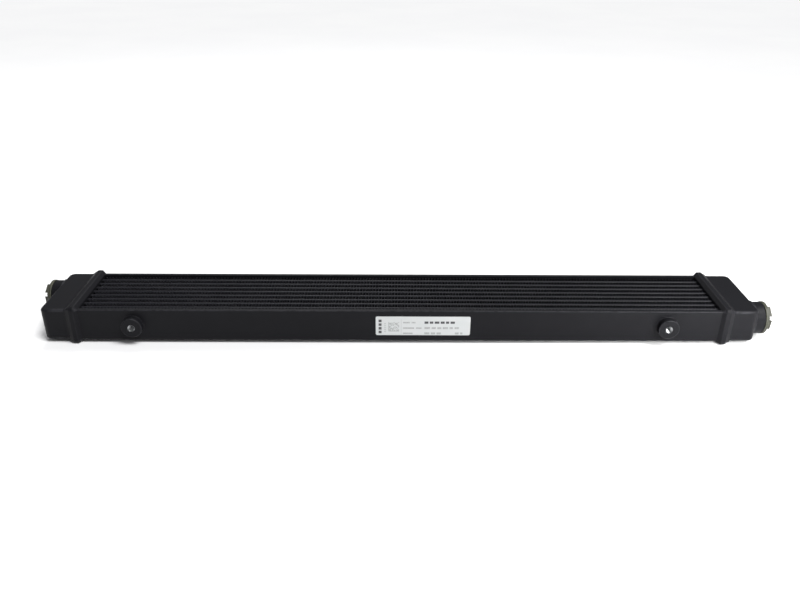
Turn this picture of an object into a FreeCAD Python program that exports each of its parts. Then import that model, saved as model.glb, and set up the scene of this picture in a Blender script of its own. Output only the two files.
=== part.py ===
"""Slim hydraulic oil cooler, lying flat on the raised edges of its two header plates.

The core runs along X between the headers, the tubes and fins are stacked along Y,
and air blows through along Z. The origin is in the middle of the cooler, on the
plane that the header edges stand on. A half turn about Z brings the cooler onto
itself, so each end is modelled once, at the +X end, and turned for the other one.
"""
import FreeCAD, Part
import math
import os

# ---------------------------------------------------------------- driving dimensions, mm
core_length = 592.0            # between the two header plates
core_depth = 31.0              # side plates and tanks, along the air flow

tube_count = 8
tube_thickness = 3.0
tube_width = 27.0
tube_wall = 0.4
tube_reach = 2.0               # how far a tube stands into the tank, past the header

fin_height = 5.3
fin_width = 26.0
fin_sheet = 0.2
fin_wave = 3.1
fin_crest = 0.8
fin_end_gap = 1.5              # between the last wave and the header

turbulator_sheet = 0.2
turbulator_wave = 4.0
turbulator_crest = 1.1

side_plate_thickness = 4.0
side_plate_edge_radius = 0.8

header_sheet = 2.5             # the wall that the tubes pass through
header_length = 11.5           # from the core face to the lip round the tank
header_proud = 3.2             # how far its pressed edge stands out all round
header_core_slope = 3.0
header_tank_slope = 4.5
header_lip = 0.4
header_corner_radius = 3.8
header_crest_radius = 0.9

tank_length = 35.2             # from the core face to the end face
tank_wall = 2.5
tank_corner_radius = 6.0
tank_edge_radius = 2.2

port_offset = 21.0             # from the middle of the stack
port_radius = 15.0
port_length = 9.1             # past the tank's end face
port_spigot_radius = 13.0
port_spigot_reach = 1.0        # past the inside of the tank wall
port_bore_radius = 10.19       # M22x1.5 thread, at its minor diameter
port_chamfer = 0.6
seal_seat_radius = 12.2
seal_seat_depth = 2.1

seal_ring_radius = 11.1
seal_section_radius = 0.8

plug_shank_radius = 10.10
plug_shank_length = 11.0
plug_neck_radius = 10.0
plug_neck_length = 2.2
plug_inner_radius = 8.2
plug_floor = 1.6
plug_flange_radius = 15.5
plug_flange_thickness = 2.8
plug_flange_gap = 0.1
plug_head_length = 4.7
plug_head_corner_radius = 12.2
plug_head_bevel = 0.6          # how much its corners are turned off at the outer face
right_plug_turn = 22.0         # degrees that a corner of the head leans from +Z to +Y
left_plug_turn = 30.0
plug_slot_width = 3.6
plug_slot_depth = 2.5
plug_edge = 0.5

boss_spacing = 494.0
boss_radius = 9.5
boss_height = 6.5
boss_edge = 0.6
boss_spigot_radius = 6.0
screw_core_radius = 2.5        # M6 thread, at its tapping drill
screw_hole_depth = 9.0
screw_mouth = 0.3

label_length = 87.5
label_height = 19.5
label_thickness = 0.2
label_offset = 20.5            # from the middle of the front plate, towards +X
label_corner_radius = 1.5

fit_gap = 0.05                 # round a part that is brazed into its hole

# ---------------------------------------------------------------- worked out from those
layer_pitch = tube_thickness + fin_height
fin_count = tube_count + 1
core_stack = 2 * side_plate_thickness + tube_count * tube_thickness + fin_count * fin_height
half_stack = core_stack / 2
half_core = core_length / 2
mid_height = header_proud + core_depth / 2
core_floor = header_proud
tank_end = half_core + tank_length
port_end = tank_end + port_length
first_fin_y = -half_stack + side_plate_thickness + fin_height / 2
first_tube_y = first_fin_y + layer_pitch / 2

along_x = FreeCAD.Vector(1, 0, 0)
along_y = FreeCAD.Vector(0, 1, 0)
along_z = FreeCAD.Vector(0, 0, 1)


# ---------------------------------------------------------------- shapes used more than once
def block(x_range, y_range, z_range):
    """A box between two values on each axis."""
    size = [high - low for low, high in (x_range, y_range, z_range)]
    corner = FreeCAD.Vector(x_range[0], y_range[0], z_range[0])
    return Part.makeBox(*size, corner)


def rod(radius, x_range, y):
    """A round bar along X, at mid height."""
    base = FreeCAD.Vector(x_range[0], y, mid_height)
    return Part.makeCylinder(radius, x_range[1] - x_range[0], base, along_x)


def edges_where(shape, test):
    """The edges whose two ends and middle all pass a test."""
    chosen = []
    for edge in shape.Edges:
        points = [vertex.Point for vertex in edge.Vertexes]
        points.append(edge.valueAt((edge.FirstParameter + edge.LastParameter) / 2))
        if all(test(point) for point in points):
            chosen.append(edge)
    return chosen


def near(value, target):
    """Whether two lengths are the same for every practical purpose."""
    return abs(value - target) < 1e-4


def slot_section(x, y, width, thickness):
    """A flat tube's outline in the YZ plane: two straight sides and two round noses."""
    radius = thickness / 2
    straight = width / 2 - radius
    low = mid_height - straight
    high = mid_height + straight
    side_a = Part.makeLine((x, y - radius, low), (x, y - radius, high))
    nose_a = Part.Arc(FreeCAD.Vector(x, y - radius, high), FreeCAD.Vector(x, y, high + radius),
                      FreeCAD.Vector(x, y + radius, high)).toShape()
    side_b = Part.makeLine((x, y + radius, high), (x, y + radius, low))
    nose_b = Part.Arc(FreeCAD.Vector(x, y + radius, low), FreeCAD.Vector(x, y, low - radius),
                      FreeCAD.Vector(x, y - radius, low)).toShape()
    return Part.Face(Part.Wire([side_a, nose_a, side_b, nose_b]))


def slot_bar(x_range, y, width, thickness):
    """A solid bar with a flat tube's outline, along X."""
    section = slot_section(x_range[0], y, width, thickness)
    return section.extrude(along_x * (x_range[1] - x_range[0]))


def wave_line(wave, crest, height, count):
    """The middle line of a corrugated sheet: flat crests joined by sloping walls."""
    start = -wave * count / 2
    points = []
    for number in range(2 * count):
        middle = start + (number + 0.5) * wave / 2
        level = height / 2 if number % 2 else -height / 2
        points.append((middle - crest / 2, level))
        points.append((middle + crest / 2, level))
    return points


def offset_line(points, distance):
    """A line beside an open line of points, with its corners mitred."""
    normals = []
    for (x0, y0), (x1, y1) in zip(points, points[1:]):
        length = math.hypot(x1 - x0, y1 - y0)
        normals.append(((y0 - y1) / length, (x1 - x0) / length))
    before = [normals[0]] + normals
    after = normals + [normals[-1]]
    moved = []
    for (x, y), (ax, ay), (bx, by) in zip(points, before, after):
        reach = distance / (1 + ax * bx + ay * by)
        moved.append((x + (ax + bx) * reach, y + (ay + by) * reach))
    return moved


def corrugated_outline(wave, crest, height, sheet, count):
    """The closed outline of a corrugated sheet that is exactly `height` tall."""
    middle = wave_line(wave, crest, height - sheet, count)
    return offset_line(middle, sheet / 2) + offset_line(middle, -sheet / 2)[::-1]


def face_of(points):
    return Part.Face(Part.makePolygon(points + points[:1]))


def turned_half(shape):
    """The same part at the other end, or on the other side, of the cooler."""
    copy = shape.copy()
    copy.rotate(FreeCAD.Vector(0, 0, 0), along_z, 180)
    return copy


# ---------------------------------------------------------------- the core
def side_plate():
    """The front plate: a flat bar with rounded long edges and a hole for each boss."""
    plate = block((-half_core, half_core), (-half_stack, -half_stack + side_plate_thickness),
                  (core_floor, core_floor + core_depth))
    outer_edges = edges_where(plate, lambda p: near(p.y, -half_stack)
                              and (near(p.z, core_floor) or near(p.z, core_floor + core_depth)))
    plate = plate.makeFillet(side_plate_edge_radius, outer_edges)
    for x in (-boss_spacing / 2, boss_spacing / 2):
        hole = Part.makeCylinder(boss_spigot_radius + fit_gap, side_plate_thickness,
                                 FreeCAD.Vector(x, -half_stack, mid_height), along_y)
        plate = plate.cut(hole)
    return plate


def mounting_boss(x):
    """A welded-on collar with a blind M6 hole, and a spigot that fills the plate's hole."""
    outer_y = -half_stack - boss_height
    collar = Part.makeCylinder(boss_radius, boss_height,
                               FreeCAD.Vector(x, outer_y, mid_height), along_y)
    rim = edges_where(collar, lambda p: near(p.y, outer_y))
    collar = collar.makeChamfer(boss_edge, rim)
    spigot = Part.makeCylinder(boss_spigot_radius, boss_height + side_plate_thickness,
                               FreeCAD.Vector(x, outer_y, mid_height), along_y)
    hole = Part.makeCylinder(screw_core_radius, screw_hole_depth,
                             FreeCAD.Vector(x, outer_y, mid_height), along_y)
    mouth = Part.makeCone(screw_core_radius + screw_mouth, screw_core_radius, screw_mouth,
                          FreeCAD.Vector(x, outer_y, mid_height), along_y)
    return collar.fuse(spigot).cut(hole.fuse(mouth)).removeSplitter()


def oil_tube(y):
    """A flat tube with round noses, long enough to stand into both tanks."""
    reach = half_core + header_sheet + tube_reach
    outer = slot_bar((-reach, reach), y, tube_width, tube_thickness)
    bore = slot_bar((-reach, reach), y, tube_width - 2 * tube_wall, tube_thickness - 2 * tube_wall)
    return outer.cut(bore)


def turbulator(y):
    """A corrugated strip inside a tube, whose channels run along the tube."""
    bore_height = tube_thickness - 2 * tube_wall
    flat_width = tube_width - tube_thickness
    count = int(flat_width / turbulator_wave)
    outline = corrugated_outline(turbulator_wave, turbulator_crest, bore_height,
                                 turbulator_sheet, count)
    points = [FreeCAD.Vector(-half_core, y + level, mid_height + place) for place, level in outline]
    return face_of(points).extrude(along_x * core_length)


def air_fin(y):
    """A corrugated strip between two tubes, whose channels run along the air flow."""
    count = int((core_length - 2 * fin_end_gap) / fin_wave)
    outline = corrugated_outline(fin_wave, fin_crest, fin_height, fin_sheet, count)
    low = mid_height - fin_width / 2
    points = [FreeCAD.Vector(place, y + level, low) for place, level in outline]
    return face_of(points).extrude(along_z * fin_width)


# ---------------------------------------------------------------- the ends
def rounded_case(x_range, inset, corner_radius, edge_radius):
    """A tank's form: round upright corners at the far end, soft edges above and below."""
    side = half_stack - inset
    low = core_floor + inset
    high = core_floor + core_depth - inset
    case = block(x_range, (-side, side), (low, high))
    corners = edges_where(case, lambda p: near(p.x, x_range[1]) and near(abs(p.y), side))
    case = case.makeFillet(corner_radius, corners)
    rims = edges_where(case, lambda p: near(p.z, low) or near(p.z, high))
    open_end = [edge for edge in rims if all(near(v.X, x_range[0]) for v in edge.Vertexes)]
    rims = [edge for edge in rims if not any(edge.isSame(other) for other in open_end)]
    return case.makeFillet(edge_radius, rims)


def tank_form():
    """The outside of the tank, from the header's wall to its end face."""
    return rounded_case((half_core + header_sheet, tank_end), 0, tank_corner_radius,
                        tank_edge_radius)


def tank():
    """A deep cup that is open towards the core, with a hole for the port in its end."""
    hollow = rounded_case((half_core + header_sheet, tank_end - tank_wall), tank_wall,
                          tank_corner_radius - tank_wall, tank_edge_radius / 2)
    hole = rod(port_spigot_radius + fit_gap, (tank_end - 2 * tank_wall, tank_end + tank_wall),
               -port_offset)
    return tank_form().cut(hollow).cut(hole)


def frame_wire(x, grow):
    """The core's rectangle in the YZ plane, grown all round, with round corners."""
    side = half_stack + grow
    low = core_floor - grow
    high = core_floor + core_depth + grow
    radius = header_corner_radius - header_proud + grow
    bar = block((x, x + header_length), (-side, side), (low, high))
    long_edges = [edge for edge in bar.Edges if near(edge.Vertexes[0].Y, edge.Vertexes[1].Y)
                  and near(edge.Vertexes[0].Z, edge.Vertexes[1].Z)]
    bar = bar.makeFillet(radius, long_edges)
    face = [face for face in bar.Faces if all(near(v.X, x) for v in face.Vertexes)][0]
    return face.OuterWire


def header_plate():
    """A pressed tray: a wall with a slot for each tube, and a raised edge round the tank."""
    core_face = half_core
    lip_face = half_core + header_length
    stations = [(core_face, 0), (core_face + header_core_slope, header_proud),
                (lip_face - header_tank_slope, header_proud), (lip_face, header_lip)]
    tray = Part.makeLoft([frame_wire(x, grow) for x, grow in stations], True, True)
    crests = edges_where(tray, lambda p: near(p.x, stations[1][0]) or near(p.x, stations[2][0]))
    tray = tray.makeFillet(header_crest_radius, crests)
    wall_face = core_face + header_sheet
    side = half_stack + fit_gap
    low = core_floor - fit_gap
    high = core_floor + core_depth + fit_gap
    socket = block((wall_face, lip_face), (-side, side), (low, high))
    long_edges = [edge for edge in socket.Edges if near(edge.Length, lip_face - wall_face)]
    tray = tray.cut(socket.makeFillet(tank_edge_radius + fit_gap, long_edges))
    for number in range(tube_count):
        slot = slot_bar((core_face, wall_face), first_tube_y + number * layer_pitch,
                        tube_width + 2 * fit_gap, tube_thickness + 2 * fit_gap)
        tray = tray.cut(slot)
    return tray


# ---------------------------------------------------------------- ports and plugs
def port():
    """A threaded collar that is welded on the tank's end, saddled to its soft edges."""
    collar = rod(port_radius, (tank_end - tank_edge_radius, port_end), -port_offset)
    rim = edges_where(collar, lambda p: near(p.x, port_end))
    collar = collar.makeChamfer(port_chamfer, rim).cut(tank_form())
    spigot_start = tank_end - tank_wall - port_spigot_reach
    spigot = rod(port_spigot_radius, (spigot_start, port_end - seal_seat_depth), -port_offset)
    bore = rod(port_bore_radius, (spigot_start, port_end), -port_offset)
    seat = rod(seal_seat_radius, (port_end - seal_seat_depth, port_end), -port_offset)
    return collar.fuse(spigot).cut(bore.fuse(seat)).removeSplitter()


def plug_seal():
    """The ring in the mouth of the port, under the plug's flange."""
    middle = port_end - seal_seat_depth / 2
    return Part.makeTorus(seal_ring_radius, seal_section_radius,
                          FreeCAD.Vector(middle, -port_offset, mid_height), along_x)


def port_plug(head_turn):
    """A hollow screw plug with a flange, a hexagon head and a driver slot."""
    flange_face = port_end + plug_flange_gap
    head_face = flange_face + plug_flange_thickness
    top_face = head_face + plug_head_length
    shank_tip = flange_face - plug_shank_length
    shank = rod(plug_shank_radius, (shank_tip, flange_face - plug_neck_length), -port_offset)
    tip = edges_where(shank, lambda p: near(p.x, shank_tip))
    shank = shank.makeChamfer(plug_edge, tip)
    neck = rod(plug_neck_radius, (flange_face - plug_neck_length, flange_face), -port_offset)
    flange = rod(plug_flange_radius, (flange_face, head_face), -port_offset)
    rims = edges_where(flange, lambda p: near(p.x, flange_face) or near(p.x, head_face))
    flange = flange.makeFillet(plug_edge, rims)
    inside = rod(plug_inner_radius, (shank_tip, top_face - plug_slot_depth - plug_floor), -port_offset)
    plug = shank.fuse(neck).fuse(flange).fuse(hexagon_head(head_face, top_face, head_turn))
    return plug.cut(inside).cut(driver_slot(top_face, head_turn)).removeSplitter()


def head_direction(turn):
    """A direction in the YZ plane, turned about X from +Z towards +Y."""
    angle = math.radians(turn)
    return FreeCAD.Vector(0, math.sin(angle), math.cos(angle))


def hexagon_head(head_face, top_face, head_turn):
    """The hexagon, with its corners turned off by a cone at the outer face."""
    centre = FreeCAD.Vector(head_face, -port_offset, mid_height)
    corners = [centre + head_direction(head_turn + 60 * number) * plug_head_corner_radius
               for number in range(6)]
    head = face_of(corners).extrude(along_x * (top_face - head_face))
    height = top_face - head_face
    cone = Part.makeCone(plug_head_corner_radius + height, plug_head_corner_radius - plug_head_bevel,
                         height, centre, along_x)
    return head.common(cone)


def driver_slot(top_face, head_turn):
    """The slot across the head, at right angles to the corner that `head_turn` sets."""
    reach = 2 * plug_head_corner_radius
    slot = Part.makeBox(plug_slot_depth, reach, plug_slot_width,
                        FreeCAD.Vector(top_face - plug_slot_depth, -port_offset - reach / 2,
                                       mid_height - plug_slot_width / 2))
    slot.rotate(FreeCAD.Vector(top_face, -port_offset, mid_height), along_x, -head_turn)
    return slot


def label():
    """The blank information label on the front plate."""
    front = -half_stack
    left = label_offset - label_length / 2
    low = mid_height - label_height / 2
    card = block((left, left + label_length), (front - label_thickness, front),
                 (low, low + label_height))
    corners = [edge for edge in card.Edges if near(edge.Length, label_thickness)]
    return card.makeFillet(label_corner_radius, corners)


# ---------------------------------------------------------------- all the parts
def build():
    """Each part under its node's name."""
    parts = {}
    front_plate = side_plate()
    parts["front_side_plate"] = front_plate
    parts["rear_side_plate"] = turned_half(front_plate)
    left_boss = mounting_boss(-boss_spacing / 2)
    right_boss = mounting_boss(boss_spacing / 2)
    parts["front_left_mounting_boss"] = left_boss
    parts["front_right_mounting_boss"] = right_boss
    parts["rear_right_mounting_boss"] = turned_half(left_boss)
    parts["rear_left_mounting_boss"] = turned_half(right_boss)
    for number in range(tube_count):
        y = first_tube_y + number * layer_pitch
        parts[f"oil_tube_{number + 1}"] = oil_tube(y)
        parts[f"turbulator_{number + 1}"] = turbulator(y)
    for number in range(fin_count):
        parts[f"air_fin_{number + 1}"] = air_fin(first_fin_y + number * layer_pitch)
    right_end = {"header_plate": header_plate(), "tank": tank(), "port": port(),
                 "plug_seal": plug_seal()}
    for name, shape in right_end.items():
        parts[f"right_{name}"] = shape
        parts[f"left_{name}"] = turned_half(shape)
    parts["right_port_plug"] = port_plug(right_plug_turn)
    parts["left_port_plug"] = turned_half(port_plug(-left_plug_turn))
    parts["label"] = label()
    return parts


os.makedirs("parts", exist_ok=True)
for node, shape in build().items():
    shape.exportStep(f"parts/{node}.step")
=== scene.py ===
import math
import random

import bmesh
import bpy
from mathutils import Euler, Matrix, Vector


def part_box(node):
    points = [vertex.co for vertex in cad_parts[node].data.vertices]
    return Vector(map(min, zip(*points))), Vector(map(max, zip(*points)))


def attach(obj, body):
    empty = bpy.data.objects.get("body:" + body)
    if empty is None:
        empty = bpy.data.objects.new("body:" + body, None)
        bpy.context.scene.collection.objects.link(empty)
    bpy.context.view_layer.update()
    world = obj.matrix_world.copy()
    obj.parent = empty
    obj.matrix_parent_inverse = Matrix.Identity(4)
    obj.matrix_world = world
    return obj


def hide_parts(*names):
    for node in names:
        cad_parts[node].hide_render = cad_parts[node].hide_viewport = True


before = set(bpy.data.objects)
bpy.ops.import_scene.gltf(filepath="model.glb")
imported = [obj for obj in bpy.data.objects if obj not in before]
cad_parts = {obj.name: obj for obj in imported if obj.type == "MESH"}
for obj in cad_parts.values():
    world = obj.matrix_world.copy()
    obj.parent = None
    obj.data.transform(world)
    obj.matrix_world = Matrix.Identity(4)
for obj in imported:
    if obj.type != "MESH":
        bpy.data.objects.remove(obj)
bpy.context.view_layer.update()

# Shapes are made in millimetres, in the cooler's own frame: X along the tubes, -Y out of the
# front plate, Z along the air flow. place_piece turns them into metres.
MM = 0.001
FULL_TURN = 2 * math.pi
FIN_WAVE = 3.1

# The coat thins, and a highlight is painted into its colour, only on faces narrower than this, in
# metres; both are strongest where the faces turn by this much, in radians.
WIDEST_THIN_LIT_FACE = 0.00045
SHARPEST_TURN = 0.8

ALONG_X = Vector((1, 0, 0))
ALONG_Y = Vector((0, 1, 0))
ALONG_Z = Vector((0, 0, 1))

# Stands a flat outline, drawn in X and Y, up to face along X.
UPRIGHT = Matrix(((0, 0, 1), (1, 0, 0), (0, 1, 0)))


def node_box(node):
    """The lowest and highest corner of a CAD node, in millimetres."""
    low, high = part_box(node)
    return low / MM, high / MM


plate_low, plate_high = node_box("front_side_plate")
header_low, header_high = node_box("right_header_plate")
tank_low, tank_high = node_box("right_tank")
port_low, port_high = node_box("right_port")
tube_low, tube_high = node_box("oil_tube_1")
fin_low, fin_high = node_box("air_fin_1")
boss_low, boss_high = node_box("front_right_mounting_boss")
label_low, label_high = node_box("label")

HALF_CORE = plate_high.x
HALF_STACK = -plate_low.y
PLATE_THICKNESS = plate_high.y - plate_low.y
CORE_FLOOR = plate_low.z
CORE_TOP = plate_high.z
MID_HEIGHT = (CORE_FLOOR + CORE_TOP) / 2
HEADER_PROUD = header_high.z - CORE_TOP
HEADER_END = header_high.x
TANK_START = tank_low.x
TANK_END = tank_high.x
PORT_END = port_high.x
PORT_Y = (port_low.y + port_high.y) / 2
PORT_RADIUS = (port_high.y - port_low.y) / 2
TUBE_REACH = tube_high.x
TUBE_WIDTH = tube_high.z - tube_low.z
TUBE_THICKNESS = tube_high.y - tube_low.y
TUBE_COUNT = sum(name.startswith("oil_tube_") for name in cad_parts)
FIN_HEIGHT = fin_high.y - fin_low.y
LAYER_PITCH = TUBE_THICKNESS + FIN_HEIGHT
FIRST_TUBE_Y = (tube_low.y + tube_high.y) / 2
FIRST_FIN_Y = (fin_low.y + fin_high.y) / 2
BOSS_RADIUS = (boss_high.x - boss_low.x) / 2
BOSS_X = (boss_low.x + boss_high.x) / 2
BOSS_FACE = boss_low.y

# ------------------------------------------------------------------------------ camera
CAMERA_PLACE = Vector((-0.00629, -0.6619, 0.3625))
CAMERA_PITCH = 27.0
CAMERA_YAW = 0.49
CAMERA_ROLL = 0.41

camera_lens = bpy.data.cameras.new("camera")
camera_lens.sensor_width = 36
camera_lens.lens = 34.55
camera_lens.clip_start = 0.01
camera = bpy.data.objects.new("camera", camera_lens)
aim = Euler((math.radians(90 - CAMERA_PITCH), 0, math.radians(-CAMERA_YAW)))
camera.matrix_world = (Matrix.Translation(CAMERA_PLACE) @ aim.to_matrix().to_4x4()
                       @ Matrix.Rotation(math.radians(CAMERA_ROLL), 4, "Z"))
bpy.context.scene.collection.objects.link(camera)
bpy.context.scene.camera = camera


# ------------------------------------------------------------------------------ shape tools
def block(low, high):
    """A box between two corners."""
    low = Vector(low)
    high = Vector(high)
    shape = bmesh.new()
    bmesh.ops.create_cube(shape, size=1)
    bmesh.ops.scale(shape, vec=high - low, verts=shape.verts)
    bmesh.ops.translate(shape, vec=(low + high) / 2, verts=shape.verts)
    return shape


def edges_where(shape, test):
    """The edges whose two ends both pass a test."""
    return [edge for edge in shape.edges if all(test(corner.co) for corner in edge.verts)]


def edges_along_x(shape):
    return [edge for edge in shape.edges if abs((edge.verts[0].co - edge.verts[1].co).x) > 1]


def corners_in(geometry):
    """The corners among what an operator made."""
    return [item for item in geometry if isinstance(item, bmesh.types.BMVert)]


def edges_in(geometry):
    """The edges among what an operator made."""
    return [item for item in geometry if isinstance(item, bmesh.types.BMEdge)]


def soften(shape, edges, radius, segments):
    """Round some edges off."""
    bmesh.ops.bevel(shape, geom=edges, offset=radius, offset_type="OFFSET", affect="EDGES",
                    segments=segments, profile=0.5, material=-1)


def move(shape, offset):
    bmesh.ops.translate(shape, vec=offset, verts=shape.verts)
    return shape


def turned_end_for_end(shape):
    """The same shape at the other end, or on the other side, of the cooler."""
    copy = shape.copy()
    bmesh.ops.rotate(copy, cent=(0, 0, 0), matrix=Matrix.Rotation(math.pi, 3, "Z"),
                     verts=copy.verts)
    return copy


def turned(outline, start, axis, steps, closed=False):
    """A shape turned on a lathe: the outline is a list of (along the axis, radius)."""
    shape = bmesh.new()
    across = ALONG_Z
    corners = [shape.verts.new(start + axis * along + across * radius)
               for along, radius in outline]
    for one, two in zip(corners, corners[1:]):
        shape.edges.new((one, two))
    if closed:
        shape.edges.new((corners[-1], corners[0]))
    bmesh.ops.spin(shape, geom=shape.verts[:] + shape.edges[:], cent=start, axis=axis,
                   dvec=(0, 0, 0), angle=FULL_TURN, steps=steps, use_merge=True)
    bmesh.ops.remove_doubles(shape, verts=shape.verts, dist=1e-4)
    bmesh.ops.recalc_face_normals(shape, faces=shape.faces)
    return shape


def rounded(along, radius, turn_radius, first, last, steps):
    """Points on a rounded corner of a lathe outline, between two angles in degrees."""
    points = []
    for step in range(steps + 1):
        angle = math.radians(first + (last - first) * step / steps)
        points.append((along + turn_radius * math.cos(angle),
                       radius + turn_radius * math.sin(angle)))
    return points


def thread_ridge(section, start, axis, pitch, turns, steps_per_turn):
    """A screw thread: a small section of (along, radius) points carried round and along."""
    shape = bmesh.new()
    corners = [shape.verts.new(start + axis * along + ALONG_Z * radius)
               for along, radius in section]
    face = shape.faces.new(corners)
    bmesh.ops.spin(shape, geom=shape.verts[:] + shape.edges[:] + [face], cent=start, axis=axis,
                   dvec=axis * (pitch / steps_per_turn), angle=FULL_TURN * turns,
                   steps=round(steps_per_turn * turns))
    open_edges = [edge for edge in shape.edges if edge.is_boundary]
    bmesh.ops.holes_fill(shape, edges=open_edges, sides=len(section))
    bmesh.ops.recalc_face_normals(shape, faces=shape.faces)
    return shape


def joined(*shapes):
    """Several shapes as one, with nothing merged."""
    whole = bmesh.new()
    for shape in shapes:
        part = bpy.data.meshes.new("part")
        shape.to_mesh(part)
        whole.from_mesh(part)
        bpy.data.meshes.remove(part)
        shape.free()
    return whole


def workpiece(shape):
    """A passing object that a Boolean can work on."""
    mesh = bpy.data.meshes.new("workpiece")
    shape.to_mesh(mesh)
    piece = bpy.data.objects.new("workpiece", mesh)
    bpy.context.scene.collection.objects.link(piece)
    return piece


def shape_of(piece):
    """The shape that a workpiece's modifiers leave."""
    evaluated = piece.evaluated_get(bpy.context.evaluated_depsgraph_get())
    result = bpy.data.meshes.new_from_object(evaluated)
    made = bmesh.new()
    made.from_mesh(result)
    bpy.data.meshes.remove(result)
    return made


def drop_workpieces(*pieces):
    for piece in pieces:
        mesh = piece.data
        bpy.data.objects.remove(piece)
        bpy.data.meshes.remove(mesh)


def combined(shape, tools, operation):
    """A shape with closed tool shapes cut from it, added to it or kept in common with it."""
    body = workpiece(shape)
    cutters = [workpiece(tool) for tool in tools]
    for cutter in cutters:
        step = body.modifiers.new("combine", "BOOLEAN")
        step.operation = operation
        step.solver = "EXACT"
        step.object = cutter
    made = shape_of(body)
    drop_workpieces(body, *cutters)
    bmesh.ops.remove_doubles(made, verts=made.verts, dist=1e-4)
    return made


def paint(shape, test, material_index):
    """Give the faces whose middle passes a test another of the piece's materials."""
    for face in shape.faces:
        if test(face.calc_center_median()):
            face.material_index = material_index


def from_axis(point, centre_y):
    """How far a point is from a port's axis, which runs along X."""
    return math.hypot(point.y - centre_y, point.z - MID_HEIGHT)


def mark_thin_and_highlit_edges(mesh):
    """Store how sharply each narrow face turns outwards, for the coat's thin edges and the
    highlight painted along them.
    """
    shape = bmesh.new()
    shape.from_mesh(mesh)
    turns = [0.0] * len(shape.verts)
    for edge in shape.edges:
        if len(edge.link_faces) == 2:
            turn = max(edge.calc_face_angle_signed(0), 0)
            for corner in edge.verts:
                turns[corner.index] = max(turns[corner.index], turn)
    values = []
    for face in shape.faces:
        width = 2 * face.calc_area() / max(face.calc_perimeter(), 1e-9)
        narrow = width < WIDEST_THIN_LIT_FACE
        values += [min(turns[corner.index] / SHARPEST_TURN, 1.0) if narrow else 0.0
                   for corner in face.verts]
    shape.free()
    layer = mesh.attributes.new("edge_turn", "FLOAT", "CORNER")
    layer.data.foreach_set("value", values)


def place_piece(name, shape, body, nodes, materials, sharp_angle=38):
    """Bring a shape into the scene, riding on its body in place of its CAD nodes."""
    bmesh.ops.scale(shape, vec=(MM, MM, MM), verts=shape.verts)
    mesh = bpy.data.meshes.new(name)
    shape.to_mesh(mesh)
    shape.free()
    mesh.shade_smooth()
    mesh.set_sharp_from_angle(angle=math.radians(sharp_angle))
    mark_thin_and_highlit_edges(mesh)
    for material in materials:
        mesh.materials.append(material)
    piece = bpy.data.objects.new(name, mesh)
    bpy.context.scene.collection.objects.link(piece)
    shading = piece.modifiers.new("even shading", "WEIGHTED_NORMAL")
    shading.keep_sharp = True
    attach(piece, body)
    if nodes:
        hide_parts(*nodes)
    return piece


def give_thickness(piece, thickness, offset):
    """Thicken a piece that was made as a sheet, before its shading is evened."""
    sheet = piece.modifiers.new("sheet", "SOLIDIFY")
    sheet.thickness = thickness * MM
    sheet.offset = offset
    piece.modifiers.move(1, 0)


def place_both_ends(name, shape, part=None):
    """Place a coated shape's twin at the left end, then the shape itself at the right end."""
    for side, made in (("left", turned_end_for_end(shape)), ("right", shape)):
        nodes = [f"{side}_{part}"] if part else []
        place_piece(f"{side}_{name}", made, "root", nodes, [satin_black_coat])


# ------------------------------------------------------------------------------ effects
def new_effect(name, inputs, outputs):
    """An empty shader node group with named inputs and outputs."""
    effect = bpy.data.node_groups.new(name, "ShaderNodeTree")
    for label, kind, value in inputs:
        socket = effect.interface.new_socket(label, in_out="INPUT", socket_type=kind)
        socket.default_value = value
    for label, kind in outputs:
        effect.interface.new_socket(label, in_out="OUTPUT", socket_type=kind)
    entry = effect.nodes.new("NodeGroupInput")
    result = effect.nodes.new("NodeGroupOutput")
    return effect, entry.outputs, result.inputs


def add_node(tree, kind, settings=None, inputs=None):
    """A node with its settings and its inputs, each a value or another node's output."""
    node = tree.nodes.new(kind)
    for key, value in (settings or {}).items():
        setattr(node, key, value)
    for key, value in (inputs or {}).items():
        if isinstance(value, bpy.types.NodeSocket):
            tree.links.new(value, node.inputs[key])
        else:
            node.inputs[key].default_value = value
    return node


def noise(tree, place, scale, detail=2.0, roughness=0.5, settings=None):
    return add_node(tree, "ShaderNodeTexNoise", settings,
                    {"Vector": place, "Scale": scale, "Detail": detail,
                     "Roughness": roughness}).outputs[0]


def remap(tree, value, low, high, to_low=0.0, to_high=1.0, smooth=True):
    settings = {"interpolation_type": "SMOOTHSTEP" if smooth else "LINEAR"}
    return add_node(tree, "ShaderNodeMapRange", settings,
                    {"Value": value, "From Min": low, "From Max": high,
                     "To Min": to_low, "To Max": to_high}).outputs[0]


def calc(tree, operation, first, second=0.0):
    node = add_node(tree, "ShaderNodeMath", {"operation": operation}, {0: first, 1: second})
    return node.outputs[0]


def mixed(tree, share, first, second):
    """A blend of two colours."""
    node = add_node(tree, "ShaderNodeMix", {"data_type": "RGBA"}, {0: share, 6: first, 7: second})
    return node.outputs[2]


def object_place(tree):
    return add_node(tree, "ShaderNodeTexCoord").outputs["Object"]


def make_powder_grain():
    """The fine orange peel of a sprayed and baked powder coat."""
    effect, given, made = new_effect("powder grain", [("Scale", "NodeSocketFloat", 900.0)],
                                     [("Height", "NodeSocketFloat"),
                                      ("Tone", "NodeSocketFloat")])
    place = object_place(effect)
    peel = noise(effect, place, given["Scale"], 1.5, 0.45)
    fine_scale = calc(effect, "MULTIPLY", given["Scale"], 4.3)
    grit = noise(effect, place, fine_scale, 1.0)
    height = calc(effect, "MULTIPLY_ADD", grit, 0.28)
    effect.links.new(peel, height.node.inputs[2])
    effect.links.new(height, made["Height"])
    broad = noise(effect, place, 38.0, 3.0, 0.6)
    effect.links.new(remap(effect, broad, 0.3, 0.7), made["Tone"])
    return effect


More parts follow.
